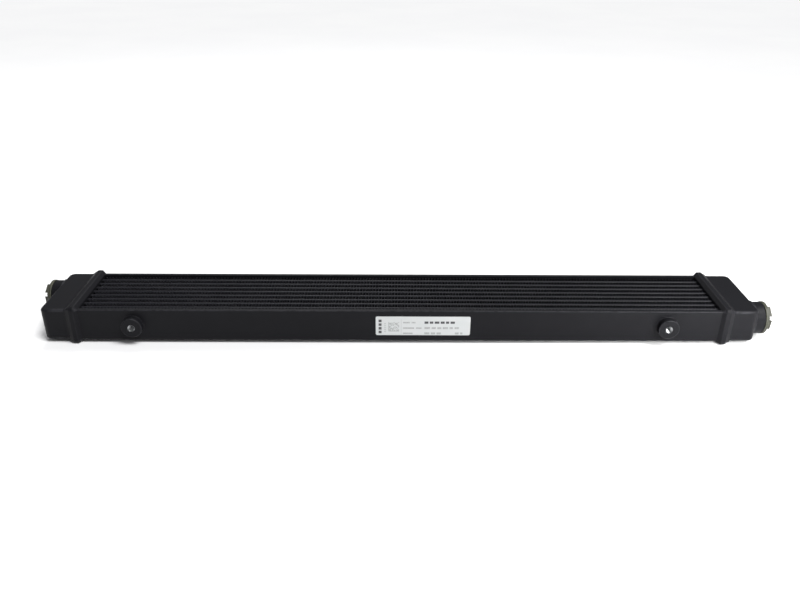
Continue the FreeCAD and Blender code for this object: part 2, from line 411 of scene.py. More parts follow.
def make_handling_marks():
    """Faint rubs and fine scratches from packing and handling."""
    effect, given, made = new_effect("handling marks", [("Amount", "NodeSocketFloat", 0.5)],
                                     [("Mask", "NodeSocketFloat")])
    place = object_place(effect)
    total = None
    for turn, scale in ((0.5, 55.0), (-0.9, 80.0), (1.9, 45.0)):
        bent = add_node(effect, "ShaderNodeMapping", None,
                        {"Vector": place, "Rotation": (turn, turn * 0.6, turn * 1.3),
                         "Scale": (0.16, 1.0, 1.0)}).outputs[0]
        lines = add_node(effect, "ShaderNodeTexVoronoi", {"feature": "DISTANCE_TO_EDGE"},
                         {"Vector": bent, "Scale": scale, "Randomness": 1.0}).outputs[0]
        hair = remap(effect, lines, 0.0, 0.006, 1.0, 0.0)
        patch = remap(effect, noise(effect, bent, 26.0, 1.0), 0.58, 0.72)
        scratch = calc(effect, "MULTIPLY", hair, patch)
        total = scratch if total is None else calc(effect, "MAXIMUM", total, scratch)
    rubs = remap(effect, noise(effect, place, 21.0, 4.0, 0.65), 0.56, 0.74)
    both = calc(effect, "MAXIMUM", total, calc(effect, "MULTIPLY", rubs, 0.45))
    effect.links.new(calc(effect, "MULTIPLY", both, given["Amount"]), made["Mask"])
    return effect


def make_settled_dust():
    """A thin film of dust where a surface faces up, thicker in drifts."""
    effect, given, made = new_effect("settled dust", [("Amount", "NodeSocketFloat", 0.5)],
                                     [("Mask", "NodeSocketFloat")])
    facing = add_node(effect, "ShaderNodeTexCoord").outputs["Normal"]
    upward = add_node(effect, "ShaderNodeSeparateXYZ", None, {0: facing}).outputs["Z"]
    place = object_place(effect)
    drift = remap(effect, noise(effect, place, 60.0, 5.0, 0.62), 0.35, 0.8, 0.25, 1.0)
    specks = remap(effect, noise(effect, place, 2600.0, 1.0), 0.66, 0.76, 0.0, 1.0)
    film = calc(effect, "MULTIPLY", remap(effect, upward, 0.35, 0.95), drift)
    flecked = calc(effect, "MULTIPLY_ADD", specks, 0.5)
    effect.links.new(film, flecked.node.inputs[2])
    shown = calc(effect, "MULTIPLY", flecked, remap(effect, upward, 0.1, 0.9))
    effect.links.new(calc(effect, "MULTIPLY", shown, given["Amount"]), made["Mask"])
    return effect


def make_thin_coat_and_edge_highlight():
    """How thin the coat has drawn along sharp outside edges, with a painted highlight there: the
    mask lightens the colour of narrow edge faces.
    """
    effect, given, made = new_effect("thin coat and painted edge highlight", [("Amount", "NodeSocketFloat", 0.5)],
                                     [("Mask", "NodeSocketFloat")])
    turn = add_node(effect, "ShaderNodeAttribute", {"attribute_name": "edge_turn"}).outputs["Fac"]
    place = object_place(effect)
    broken = remap(effect, noise(effect, place, 240.0, 4.0, 0.7), 0.28, 0.6)
    edge_thinning_and_highlight = calc(effect, "MULTIPLY", remap(effect, turn, 0.1, 0.45), broken)
    effect.links.new(calc(effect, "MULTIPLY", edge_thinning_and_highlight, given["Amount"]), made["Mask"])
    return effect


def make_tool_marks():
    """Fine parallel lines left by rolling, turning or drawing along one axis."""
    effect, given, made = new_effect("tool marks",
                                     [("Stretch", "NodeSocketVector", (0.04, 1.0, 1.0)),
                                      ("Scale", "NodeSocketFloat", 1500.0)],
                                     [("Lines", "NodeSocketFloat")])
    place = object_place(effect)
    drawn = add_node(effect, "ShaderNodeVectorMath", {"operation": "MULTIPLY"},
                     {0: place, 1: given["Stretch"]}).outputs[0]
    effect.links.new(noise(effect, drawn, given["Scale"], 3.0, 0.6), made["Lines"])
    return effect


def make_moulded_grain():
    """The spark-eroded texture of a plastic mould."""
    effect, given, made = new_effect("moulded grain", [("Scale", "NodeSocketFloat", 2200.0)],
                                     [("Height", "NodeSocketFloat"),
                                      ("Tone", "NodeSocketFloat")])
    place = object_place(effect)
    cells = add_node(effect, "ShaderNodeTexVoronoi", {"feature": "SMOOTH_F1"},
                     {"Vector": place, "Scale": given["Scale"], "Smoothness": 0.7}).outputs[0]
    effect.links.new(cells, made["Height"])
    flow = add_node(effect, "ShaderNodeMapping", None,
                    {"Vector": place, "Scale": (0.5, 1.0, 1.0)}).outputs[0]
    swirl = noise(effect, flow, 160.0, 4.0, 0.6, {"normalize": True})
    effect.links.new(remap(effect, swirl, 0.3, 0.7), made["Tone"])
    return effect


def make_fin_louvres():
    """Rows of louvres across a fin's walls, as a height over the air flow's direction, and a mask
    of their slits where the colour is darkened as painted shade.
    """
    effect, given, made = new_effect("fin louvres", [("Pitch", "NodeSocketFloat", 0.0012)],
                                     [("Height", "NodeSocketFloat"),
                                      ("Painted slit shade", "NodeSocketFloat")])
    place = add_node(effect, "ShaderNodeSeparateXYZ", None, {0: object_place(effect)})
    steps = calc(effect, "DIVIDE", place.outputs["Z"], given["Pitch"])
    saw = calc(effect, "FRACT", steps)
    effect.links.new(saw, made["Height"])
    slit_shade = remap(effect, saw, 0.86, 0.94)
    effect.links.new(slit_shade, made["Painted slit shade"])
    return effect


powder_grain = make_powder_grain()
handling_marks = make_handling_marks()
settled_dust = make_settled_dust()
thin_coat_and_edge_highlight = make_thin_coat_and_edge_highlight()
tool_marks = make_tool_marks()
moulded_grain = make_moulded_grain()
fin_louvres = make_fin_louvres()


# ------------------------------------------------------------------------------ finishes
def new_material(name):
    """An empty material with its Principled shader."""
    material = bpy.data.materials.new(name)
    material.use_nodes = True
    tree = material.node_tree
    return material, tree, tree.nodes["Principled BSDF"]


def effect_node(tree, effect, **inputs):
    node = add_node(tree, "ShaderNodeGroup", {"node_tree": effect})
    for label, value in inputs.items():
        node.inputs[label].default_value = value
    return node.outputs


def raise_surface(tree, shader, height, depth):
    """Feed a height to the shader's normal."""
    bump = add_node(tree, "ShaderNodeBump", None,
                    {"Height": height, "Distance": depth, "Strength": 1.0})
    tree.links.new(bump.outputs[0], shader.inputs["Normal"])


def coated_metal(name, black, grey, roughness, grain_scale, grain_depth, dust, edge_thinning_and_highlight_amount, specular):
    """A black powder coat over aluminium."""
    material, tree, shader = new_material(name)
    grain = effect_node(tree, powder_grain, Scale=grain_scale)
    marks = effect_node(tree, handling_marks, Amount=0.1)["Mask"]
    film = effect_node(tree, settled_dust, Amount=dust)["Mask"]
    edge_thinning_and_highlight = effect_node(tree, thin_coat_and_edge_highlight, Amount=edge_thinning_and_highlight_amount)["Mask"]
    colour = mixed(tree, grain["Tone"], black, grey)
    colour = mixed(tree, marks, colour, (0.014, 0.014, 0.016, 1))
    colour = mixed(tree, film, colour, (0.06, 0.06, 0.058, 1))
    # Narrow edge faces are lightened: a thinner coat and a painted highlight along the edges.
    colour = mixed(tree, edge_thinning_and_highlight, colour, (0.036, 0.036, 0.041, 1))
    tree.links.new(colour, shader.inputs["Base Color"])
    low, high = roughness
    gloss = remap(tree, grain["Tone"], 0.0, 1.0, low, high, False)
    gloss = calc(tree, "ADD", gloss, calc(tree, "MULTIPLY", marks, -0.1))
    gloss = calc(tree, "ADD", gloss, calc(tree, "MULTIPLY", film, 0.3))
    tree.links.new(gloss, shader.inputs["Roughness"])
    shader.inputs["Specular IOR Level"].default_value = specular
    raise_surface(tree, shader, grain["Height"], grain_depth)
    return material


def bare_metal(name, dark, light, roughness, stretch, scale, depth):
    """Uncoated aluminium with the lines of the tool that made it."""
    material, tree, shader = new_material(name)
    lines = effect_node(tree, tool_marks, Stretch=stretch, Scale=scale)["Lines"]
    marks = effect_node(tree, handling_marks, Amount=0.6)["Mask"]
    colour = mixed(tree, remap(tree, lines, 0.3, 0.7), dark, light)
    tree.links.new(colour, shader.inputs["Base Color"])
    low, high = roughness
    gloss = remap(tree, lines, 0.3, 0.7, low, high, False)
    gloss = calc(tree, "ADD", gloss, calc(tree, "MULTIPLY", marks, 0.15))
    tree.links.new(gloss, shader.inputs["Roughness"])
    shader.inputs["Metallic"].default_value = 1.0
    raise_surface(tree, shader, lines, depth)
    return material


def fin_coat_with_painted_light():
    """The black coat on the fins, with light and shade painted into its colour: near-black painted
    shade deep in the core, between crests and away from each layer's front side, and the lighter
    coat colour kept as a painted highlight on the front crests near the core's faces; the fins
    carry louvres.
    """
    material, tree, shader = new_material("core_black_coat_painted_light")
    grain = effect_node(tree, powder_grain, Scale=1400.0)
    louvres = effect_node(tree, fin_louvres, Pitch=0.0012)
    film = effect_node(tree, settled_dust, Amount=0.08)["Mask"]
    edge_thinning_and_highlight = effect_node(tree, thin_coat_and_edge_highlight, Amount=0.5)["Mask"]
    colour = mixed(tree, grain["Tone"], (0.036, 0.036, 0.044, 1), (0.050, 0.050, 0.061, 1))
    # The louvre slits are painted near-black: painted shade in the openings.
    colour = mixed(tree, louvres["Painted slit shade"], colour, (0.003, 0.003, 0.004, 1))
    place = add_node(tree, "ShaderNodeSeparateXYZ", None, {0: object_place(tree)}).outputs
    from_middle = calc(tree, "ABSOLUTE", calc(tree, "SUBTRACT", place["Z"], MID_HEIGHT * MM))
    # Painted shade and painted highlight: the colour turns near-black deep in the core, between
    # the fins' crests and away from each layer's front side, so only the front crests near the
    # faces show the coat's lighter colour.
    painted_shade_ends, painted_light_full = 0.0085, 0.0125
    outside = remap(tree, from_middle, painted_shade_ends, painted_light_full)
    phase = calc(tree, "FRACT", calc(tree, "DIVIDE", place["X"], FIN_WAVE * MM))
    fold = calc(tree, "ABSOLUTE", calc(tree, "SUBTRACT", phase, 0.5))
    first_crest = (FIRST_FIN_Y - FIN_HEIGHT / 2) * MM
    layers = calc(tree, "DIVIDE", calc(tree, "SUBTRACT", place["Y"], first_crest),
                  LAYER_PITCH * MM)
    lit_front_side = remap(tree, calc(tree, "FRACT", layers), 0.18, 0.30, 1.0, 0.12)
    painted_crest_light = calc(tree, "MULTIPLY", outside, remap(tree, fold, 0.15, 0.35, 0.06, 1.0))
    # The near-black here is painted shade, not a colour of the coat.
    colour = mixed(tree, calc(tree, "MULTIPLY", painted_crest_light, lit_front_side), (0.002, 0.002, 0.003, 1),
                   colour)
    colour = mixed(tree, film, colour, (0.10, 0.10, 0.10, 1))
    # Narrow edge faces are lightened: a thinner coat and a painted highlight along the edges.
    colour = mixed(tree, edge_thinning_and_highlight, colour, (0.07, 0.07, 0.085, 1))
    tree.links.new(colour, shader.inputs["Base Color"])
    gloss = remap(tree, grain["Tone"], 0.0, 1.0, 0.36, 0.5, False)
    tree.links.new(gloss, shader.inputs["Roughness"])
    shader.inputs["Specular IOR Level"].default_value = 0.3
    height = calc(tree, "MULTIPLY_ADD", louvres["Height"], 0.6)
    tree.links.new(grain["Height"], height.node.inputs[2])
    raise_surface(tree, shader, height, 0.0001)
    return material


def moulded_plastic():
    material, tree, shader = new_material("moulded_olive_plastic")
    grain = effect_node(tree, moulded_grain, Scale=2200.0)
    marks = effect_node(tree, handling_marks, Amount=0.6)["Mask"]
    film = effect_node(tree, settled_dust, Amount=0.15)["Mask"]
    edge_thinning_and_highlight = effect_node(tree, thin_coat_and_edge_highlight, Amount=0.5)["Mask"]
    colour = mixed(tree, grain["Tone"], (0.019, 0.0195, 0.010, 1), (0.028, 0.0285, 0.016, 1))
    colour = mixed(tree, marks, colour, (0.09, 0.09, 0.066, 1))
    colour = mixed(tree, film, colour, (0.14, 0.135, 0.115, 1))
    # Narrow edge faces are lightened: a painted highlight along the plug's edges.
    colour = mixed(tree, edge_thinning_and_highlight, colour, (0.11, 0.11, 0.08, 1))
    tree.links.new(colour, shader.inputs["Base Color"])
    gloss = remap(tree, grain["Tone"], 0.0, 1.0, 0.42, 0.56, False)
    gloss = calc(tree, "ADD", gloss, calc(tree, "MULTIPLY", marks, -0.12))
    tree.links.new(gloss, shader.inputs["Roughness"])
    raise_surface(tree, shader, grain["Height"], 0.00006)
    return material


def ring_rubber():
    material, tree, shader = new_material("black_seal_rubber")
    grain = effect_node(tree, moulded_grain, Scale=3000.0)
    film = effect_node(tree, settled_dust, Amount=0.25)["Mask"]
    colour = mixed(tree, grain["Tone"], (0.010, 0.010, 0.010, 1), (0.018, 0.018, 0.017, 1))
    colour = mixed(tree, film, colour, (0.1, 0.1, 0.09, 1))
    tree.links.new(colour, shader.inputs["Base Color"])
    gloss = remap(tree, grain["Tone"], 0.0, 1.0, 0.38, 0.55, False)
    tree.links.new(gloss, shader.inputs["Roughness"])
    raise_surface(tree, shader, grain["Height"], 0.00003)
    return material


def label_film():
    """A slightly glossy white film, faintly uneven where it was rubbed down."""
    material, tree, shader = new_material("white_label_film")
    place = object_place(tree)
    tone = remap(tree, noise(tree, place, 70.0, 3.0, 0.6), 0.3, 0.7)
    marks = effect_node(tree, handling_marks, Amount=0.35)["Mask"]
    colour = mixed(tree, tone, (0.53, 0.55, 0.55, 1), (0.56, 0.57, 0.57, 1))
    colour = mixed(tree, marks, colour, (0.5, 0.5, 0.5, 1))
    tree.links.new(colour, shader.inputs["Base Color"])
    tree.links.new(remap(tree, tone, 0.0, 1.0, 0.34, 0.46, False), shader.inputs["Roughness"])
    fibres = noise(tree, place, 1300.0, 2.0)
    raise_surface(tree, shader, fibres, 0.00002)
    return material


def print_ink(name, dark, light):
    """Thermal print, a little patchy."""
    material, tree, shader = new_material(name)
    patch = remap(tree, noise(tree, object_place(tree), 900.0, 3.0, 0.7), 0.35, 0.7)
    tree.links.new(mixed(tree, patch, dark, light), shader.inputs["Base Color"])
    tree.links.new(remap(tree, patch, 0.0, 1.0, 0.45, 0.6, False), shader.inputs["Roughness"])
    return material


def floor_paint():
    material, tree, shader = new_material("pale_floor")
    tone = remap(tree, noise(tree, object_place(tree), 3.0, 4.0, 0.6), 0.3, 0.7)
    colour = mixed(tree, tone, (0.90, 0.90, 0.905, 1), (0.92, 0.92, 0.92, 1))
    tree.links.new(colour, shader.inputs["Base Color"])
    shader.inputs["Roughness"].default_value = 0.9
    shader.inputs["Specular IOR Level"].default_value = 0.1
    return material


BLACK = (0.0072, 0.0072, 0.0088, 1)
SOFT_BLACK = (0.0078, 0.0078, 0.0095, 1)
satin_black_coat = coated_metal("satin_black_coat", BLACK, SOFT_BLACK, (0.45, 0.46),
                                850.0, 0.000015, 0.01, 0.6, 0.10)
tube_black_coat = coated_metal("tube_black_coat", (0.006, 0.006, 0.009, 1),
                               (0.008, 0.008, 0.011, 1), (0.38, 0.5), 1400.0, 0.00003,
                               0.02, 0.1, 0.16)
fin_coat_painted_light = fin_coat_with_painted_light()
cut_aluminium = bare_metal("cut_aluminium", (0.24, 0.245, 0.25, 1), (0.42, 0.43, 0.44, 1),
                           (0.2, 0.34), (1.0, 0.15, 1.0), 2500.0, 0.00002)
mill_aluminium = bare_metal("mill_aluminium", (0.5, 0.51, 0.52, 1), (0.72, 0.73, 0.74, 1),
                            (0.32, 0.5), (0.04, 1.0, 1.0), 1600.0, 0.00003)
olive_plastic = moulded_plastic()
seal_rubber = ring_rubber()
white_film = label_film()
dark_print = print_ink("dark_print", (0.03, 0.03, 0.032, 1), (0.09, 0.09, 0.095, 1))
grey_print = print_ink("grey_print", (0.30, 0.31, 0.31, 1), (0.42, 0.43, 0.43, 1))


# ------------------------------------------------------------------------------ side plates
SPIGOT_RADIUS = 6.0
SPIGOT_GAP = 0.05
PLATE_OUTER_ROUND = 0.8
PLATE_INNER_ROUND = 0.25


def front_plate():
    """The flat bar that closes the stack, with a hole for each boss's spigot."""
    plate = block(plate_low, plate_high)
    for test, radius, segments in ((lambda at: at.y < plate_low.y + 0.01, PLATE_OUTER_ROUND, 4),
                                   (lambda at: at.y > plate_high.y - 0.01, PLATE_INNER_ROUND, 2)):
        edges = [edge for edge in edges_where(plate, test) if edge.calc_length() > HALF_CORE]
        soften(plate, edges, radius, segments)
    holes = []
    for x in (-BOSS_X, BOSS_X):
        start = Vector((x, plate_low.y - 1, MID_HEIGHT))
        depth = PLATE_THICKNESS + 2
        wall = SPIGOT_RADIUS + SPIGOT_GAP
        holes.append(turned([(0, 0), (0, wall), (depth, wall), (depth, 0)], start, ALONG_Y, 40))
    return combined(plate, holes, "DIFFERENCE")


plate_shape = front_plate()
place_piece("rear_plate_bar", turned_end_for_end(plate_shape), "root", ["rear_side_plate"],
            [satin_black_coat])
place_piece("front_plate_bar", plate_shape, "root", ["front_side_plate"],
            [satin_black_coat])

# ------------------------------------------------------------------------------ bosses
SCREW_MINOR = 2.5
SCREW_MAJOR = 3.0
SCREW_PITCH = 1.0
SCREW_MOUTH = 3.2
DRILL_TIP = 9.6
FULL_BORE_DEPTH = 8.4


def boss_collar(x):
    """The turned collar: drilled hole, countersunk mouth, chamfered rim and weld fillet."""
    start = Vector((x, BOSS_FACE, MID_HEIGHT))
    height = -HALF_STACK - BOSS_FACE
    through = height + PLATE_THICKNESS
    outline = [(DRILL_TIP, 0), (FULL_BORE_DEPTH, SCREW_MAJOR), (0.35, SCREW_MAJOR),
               (0.12, SCREW_MOUTH - 0.1), (0, SCREW_MOUTH + 0.1)]
    outline += [(0, BOSS_RADIUS - 0.62), (0.06, BOSS_RADIUS - 0.5), (0.5, BOSS_RADIUS - 0.06),
                (0.62, BOSS_RADIUS)]
    outline += [(height - 0.75, BOSS_RADIUS), (height - 0.42, BOSS_RADIUS + 0.08),
                (height - 0.2, BOSS_RADIUS + 0.22), (height - 0.06, BOSS_RADIUS + 0.45),
                (height, BOSS_RADIUS + 0.8)]
    outline += [(height, SPIGOT_RADIUS), (through, SPIGOT_RADIUS), (through, 0)]
    collar = turned(outline, start, ALONG_Y, 72)
    paint(collar, lambda at: math.hypot(at.x - x, at.z - MID_HEIGHT) < SCREW_MOUTH + 0.05
          and at.y < BOSS_FACE + DRILL_TIP, 1)
    return collar


def boss_thread(x):
    """The M6 thread's ridge, from just inside the mouth to the end of the tapped length."""
    start = Vector((x, BOSS_FACE + 0.45, MID_HEIGHT))
    section = [(0, SCREW_MAJOR + 0.03), (0.36, SCREW_MINOR), (0.56, SCREW_MINOR),
               (0.92, SCREW_MAJOR + 0.03)]
    return thread_ridge(section, start, ALONG_Y, SCREW_PITCH, 7, 32)


for side, x in (("left", -BOSS_X), ("right", BOSS_X)):
    other_side = "right" if side == "left" else "left"
    collar_shape = boss_collar(x)
    thread_shape = boss_thread(x)
    for corner, shaped in ((f"rear_{other_side}", turned_end_for_end),
                           (f"front_{side}", bmesh.types.BMesh.copy)):
        place_piece(f"{corner}_boss_thread", shaped(thread_shape), "root", [], [cut_aluminium])
        place_piece(f"{corner}_boss_collar", shaped(collar_shape), "root",
                    [f"{corner}_mounting_boss"], [satin_black_coat, cut_aluminium])

# ------------------------------------------------------------------------------ tubes
TUBE_WALL = 0.4
NOSE_STEPS = 24


def flat_tube(y):
    """A flat tube with round noses, drawn from a circle pulled apart into a slot."""
    tube = bmesh.new()
    half_step = math.pi / NOSE_STEPS
    ring = bmesh.ops.create_circle(tube, radius=TUBE_THICKNESS / 2, segments=NOSE_STEPS)["verts"]
    bmesh.ops.rotate(tube, cent=(0, 0, 0), matrix=Matrix.Rotation(half_step, 3, "Z"), verts=ring)
    bmesh.ops.scale(tube, vec=(1 / math.cos(half_step), 1, 1), verts=ring)
    pull = (TUBE_WIDTH - TUBE_THICKNESS) / 2
    bmesh.ops.translate(tube, vec=(0, pull, 0), verts=[v for v in ring if v.co.y > 0])
    bmesh.ops.translate(tube, vec=(0, -pull, 0), verts=[v for v in ring if v.co.y < 0])
    bmesh.ops.rotate(tube, cent=(0, 0, 0), matrix=UPRIGHT, verts=ring)
    drawn = bmesh.ops.extrude_edge_only(tube, edges=tube.edges[:])["geom"]
    far_end = corners_in(drawn)
    bmesh.ops.translate(tube, vec=(2 * TUBE_REACH, 0, 0), verts=far_end)
    move(tube, (-TUBE_REACH, y, MID_HEIGHT))
    bmesh.ops.recalc_face_normals(tube, faces=tube.faces)
    if tube.faces[0].normal.dot(tube.faces[0].calc_center_median()
                                - Vector((0, y, MID_HEIGHT))) < 0:
        bmesh.ops.reverse_faces(tube, faces=tube.faces)
    return tube


for number in range(TUBE_COUNT):
    tube_shape = flat_tube(FIRST_TUBE_Y + number * LAYER_PITCH)
    tube_piece = place_piece(f"flat_tube_{number + 1}", tube_shape, "root",
                             [f"oil_tube_{number + 1}"], [tube_black_coat])
    give_thickness(tube_piece, TUBE_WALL, -1)
    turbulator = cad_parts[f"turbulator_{number + 1}"].data
    turbulator.materials.clear()
    turbulator.materials.append(mill_aluminium)

# ------------------------------------------------------------------------------ air fins
FIN_SHEET = 0.42
CREST_STEPS = 6


def fin_strip():
    """A corrugated strip at Y = 0: one wave is drawn, repeated and pulled up."""
    strip = bmesh.new()
    crest = FIN_WAVE / 4
    level = FIN_HEIGHT / 2 - FIN_SHEET / 2 - crest
    count = int(round((fin_high.x - fin_low.x) / FIN_WAVE))
    start = -FIN_WAVE * count / 2 + crest
    tip = strip.verts.new((start - crest, level, 0))
    for centre, height, turn in ((start, level, -math.pi), (start + 2 * crest, -level, math.pi)):
        arc = bmesh.ops.spin(strip, geom=[tip], cent=(centre, height, 0), axis=ALONG_Z,
                             dvec=(0, 0, 0), angle=turn, steps=CREST_STEPS)["geom_last"]
        end = corners_in(arc)[0]
        tip = strip.verts.new((end.co.x, -height, 0))
        strip.edges.new((end, tip))
    wave = strip.verts[:] + strip.edges[:]
    for number in range(1, count):
        copy = bmesh.ops.duplicate(strip, geom=wave)["geom"]
        bmesh.ops.translate(strip, vec=(FIN_WAVE * number, 0, 0),
                            verts=corners_in(copy))
    bmesh.ops.remove_doubles(strip, verts=strip.verts, dist=1e-3)
    tall = bmesh.ops.extrude_edge_only(strip, edges=strip.edges[:])["geom"]
    bmesh.ops.translate(strip, vec=(0, 0, fin_high.z - fin_low.z),
                        verts=corners_in(tall))
    bmesh.ops.recalc_face_normals(strip, faces=strip.faces)
    return move(strip, (0, 0, fin_low.z))


strip_shape = fin_strip()
for number in range(TUBE_COUNT + 1):
    fin_shape = move(strip_shape.copy(), (0, FIRST_FIN_Y + number * LAYER_PITCH, 0))
    fin_piece = place_piece(f"corrugated_fin_{number + 1}", fin_shape, "root",
                            [f"air_fin_{number + 1}"], [fin_coat_painted_light], 60)
    give_thickness(fin_piece, FIN_SHEET, 0)
strip_shape.free()

# ------------------------------------------------------------------------------ header plates
HEADER_SHEET = 2.5
CORE_SLOPE = 3.0
TANK_SLOPE = 4.5
LIP = 0.4
CREST_ROUND = 0.9
HEADER_CORNER = 3.8
TANK_EDGE = 2.2
TANK_CORNER = 6.0


def end_outline(corner):
    """A flat rectangle over the core's end, facing along X, with round corners."""
    sheet = bmesh.new()
    bmesh.ops.create_grid(sheet, x_segments=1, y_segments=1, size=1)
    bmesh.ops.rotate(sheet, cent=(0, 0, 0), matrix=UPRIGHT, verts=sheet.verts)
    bmesh.ops.scale(sheet, vec=(1, HALF_STACK, (CORE_TOP - CORE_FLOOR) / 2), verts=sheet.verts)
    bmesh.ops.bevel(sheet, geom=sheet.verts[:], offset=corner, offset_type="OFFSET",
                    affect="VERTICES", segments=8, profile=0.5, material=-1)
    return sheet


def draw_out(shape, ring, corner, stations):
    """Draw a ring of edges through stations of (along X, how far it stands out)."""
    inner_y = HALF_STACK - corner
    inner_z = (CORE_TOP - CORE_FLOOR) / 2 - corner
    x = 0.0
    grown = 0.0
    rings = []
    for station, proud in stations:
        drawn = bmesh.ops.extrude_edge_only(shape, edges=ring)["geom"]
        ring = edges_in(drawn)
        for point in corners_in(drawn):
            middle = Vector((point.co.x, math.copysign(inner_y, point.co.y),
                             MID_HEIGHT + math.copysign(inner_z, point.co.z - MID_HEIGHT)))
            point.co += (point.co - middle).normalized() * (proud - grown)
            point.co.x += station - x
        x = station
        grown = proud
        rings.append(ring)
    return rings


def header_pressing():
    """A pressed tray: its raised edge is drawn out ring by ring, then the middle is cut out."""
    corner = HEADER_CORNER - HEADER_PROUD
    tray = move(end_outline(corner), (HALF_CORE, 0, MID_HEIGHT))
    stations = [(CORE_SLOPE, HEADER_PROUD), (HEADER_END - HALF_CORE - TANK_SLOPE, HEADER_PROUD),
                (HEADER_END - HALF_CORE, LIP)]
    foot = [edge for edge in tray.edges if edge.is_boundary]
    crests = draw_out(tray, foot, corner, stations)
    bmesh.ops.contextual_create(tray, geom=crests[-1])
    bmesh.ops.recalc_face_normals(tray, faces=tray.faces)
    pressed = [edge for level in crests[:2] for edge in level]
    soften(tray, pressed, CREST_ROUND * 0.55, 4)
    lip = edges_where(tray, lambda at: at.x > HEADER_END - 0.01)
    soften(tray, lip, 0.15, 2)
    return combined(tray, header_cutters(), "DIFFERENCE")


def header_cutters():
    """The tank's socket, and a slot for each tube."""
    gap = 0.05
    wall_face = HALF_CORE + HEADER_SHEET
    socket = block((wall_face, -HALF_STACK - gap, CORE_FLOOR - gap),
                   (HEADER_END + 1, HALF_STACK + gap, CORE_TOP + gap))
    soften(socket, edges_along_x(socket), TANK_EDGE + gap, 8)
    tools = [socket]
    for number in range(TUBE_COUNT):
        y = FIRST_TUBE_Y + number * LAYER_PITCH
        half = TUBE_THICKNESS / 2 + gap
        tall = TUBE_WIDTH / 2 + gap
        slot = block((HALF_CORE - 1, y - half, MID_HEIGHT - tall),
                     (wall_face + 1, y + half, MID_HEIGHT + tall))
        soften(slot, edges_along_x(slot), half * 0.96, 5)
        tools.append(slot)
    return tools


place_both_ends("header_pressing", header_pressing(), "header_plate")

# ------------------------------------------------------------------------------ tanks
TANK_WALL = 2.5
SPIGOT_HOLE = 13.05
SEAM_LAP = 0.3
# Along X from where the seam starts, and how far it stands out of the tank.
SEAM_STATIONS = ((0.0, 0.38), (0.7, 0.26), (1.3, 0.10), (1.9, -0.04))


def tank_case(inset, start):
    """The tank's form, closed: round upright corners, soft long edges and a tighter end."""
    low = Vector((start, -HALF_STACK + inset, CORE_FLOOR + inset))
    high = Vector((TANK_END - inset, HALF_STACK - inset, CORE_TOP - inset))
    case = block(low, high)
    uprights = [edge for edge in edges_where(case, lambda at: at.x > high.x - 0.01)
                if abs(edge.verts[0].co.z - edge.verts[1].co.z) > 1]
    soften(case, uprights, TANK_CORNER - inset, 10)
    for level in (low.z, high.z):
        rim = [edge for edge in edges_where(case, lambda at: abs(at.z - level) < 0.01)
               if max(corner.co.x for corner in edge.verts) > start + 0.01]
        soften(case, rim, max(TANK_EDGE - inset, 0.8), 8)
    return case


def tank_shell():
    """The tank, hollow and open towards the tubes, with a hole for the port's spigot."""
    hole_start = Vector((TANK_END - 2 * TANK_WALL, PORT_Y, MID_HEIGHT))
    hole = turned([(0, 0), (0, SPIGOT_HOLE), (3 * TANK_WALL, SPIGOT_HOLE), (3 * TANK_WALL, 0)],
                  hole_start, ALONG_X, 64)
    hollow = tank_case(TANK_WALL, TANK_START - 1)
    return combined(tank_case(0, TANK_START), [hollow, hole], "DIFFERENCE")


place_both_ends("tank_shell", tank_shell(), "tank")


def seam_fillet():
    """The braze fillet that runs round the tank where the header's lip meets it."""
    bead = end_outline(TANK_EDGE)
    bmesh.ops.delete(bead, geom=bead.faces[:], context="FACES_ONLY")
    move(bead, (HEADER_END - SEAM_LAP, 0, MID_HEIGHT))
    last = draw_out(bead, bead.edges[:], TANK_EDGE, SEAM_STATIONS)[-1]
    bmesh.ops.bridge_loops(bead, edges=last + [edge for edge in bead.edges if edge.is_boundary
                                               and edge not in last])
    bmesh.ops.remove_doubles(bead, verts=bead.verts, dist=1e-4)
    bmesh.ops.recalc_face_normals(bead, faces=bead.faces)
    return bead


place_both_ends("tank_seam", seam_fillet())

# ------------------------------------------------------------------------------ ports
PORT_SPIGOT = 13.0
PORT_MINOR = 10.19
PORT_MAJOR = 11.0
PORT_PITCH = 1.5
SEAT_RADIUS = 12.2
SEAT_DEPTH = 2.1
PORT_STEPS = 96
WELD_RADIUS = 0.95
WELD_DROPS = 46


def port_collar():
    """The welded collar: seal seat, threaded bore and a spigot through the tank's wall."""
    base = TANK_END - TANK_EDGE
    start = Vector((base, PORT_Y, MID_HEIGHT))
    length = PORT_END - base
    spigot_tip = port_low.x - base
    outline = [(spigot_tip, PORT_MAJOR), (spigot_tip, PORT_SPIGOT), (3.2, PORT_SPIGOT),
               (3.2, PORT_SPIGOT + 0.01), (0.2, PORT_SPIGOT + 0.01), (0.2, PORT_RADIUS)]
    outline += [(length - 0.7, PORT_RADIUS), (length - 0.58, PORT_RADIUS - 0.05),
                (length - 0.1, PORT_RADIUS - 0.5), (length, PORT_RADIUS - 0.68)]
    outline += [(length, SEAT_RADIUS + 0.25), (length - 0.08, SEAT_RADIUS + 0.07),
                (length - 0.25, SEAT_RADIUS), (length - SEAT_DEPTH, SEAT_RADIUS),
                (length - SEAT_DEPTH, PORT_MAJOR + 0.1), (length - SEAT_DEPTH - 0.2, PORT_MAJOR)]
    collar = turned(outline, start, ALONG_X, PORT_STEPS, True)
    paint(collar, lambda at: from_axis(at, PORT_Y) < SEAT_RADIUS + 0.02
          and at.x > TANK_END - TANK_WALL, 1)
    return collar


def port_thread():
    """The M22 thread's ridge in the bore."""
    start = Vector((port_low.x + 0.35, PORT_Y, MID_HEIGHT))
    section = [(0, PORT_MAJOR + 0.03), (0.58, PORT_MINOR), (0.84, PORT_MINOR),
               (1.40, PORT_MAJOR + 0.03)]
    return thread_ridge(section, start, ALONG_X, PORT_PITCH, 6, 48)


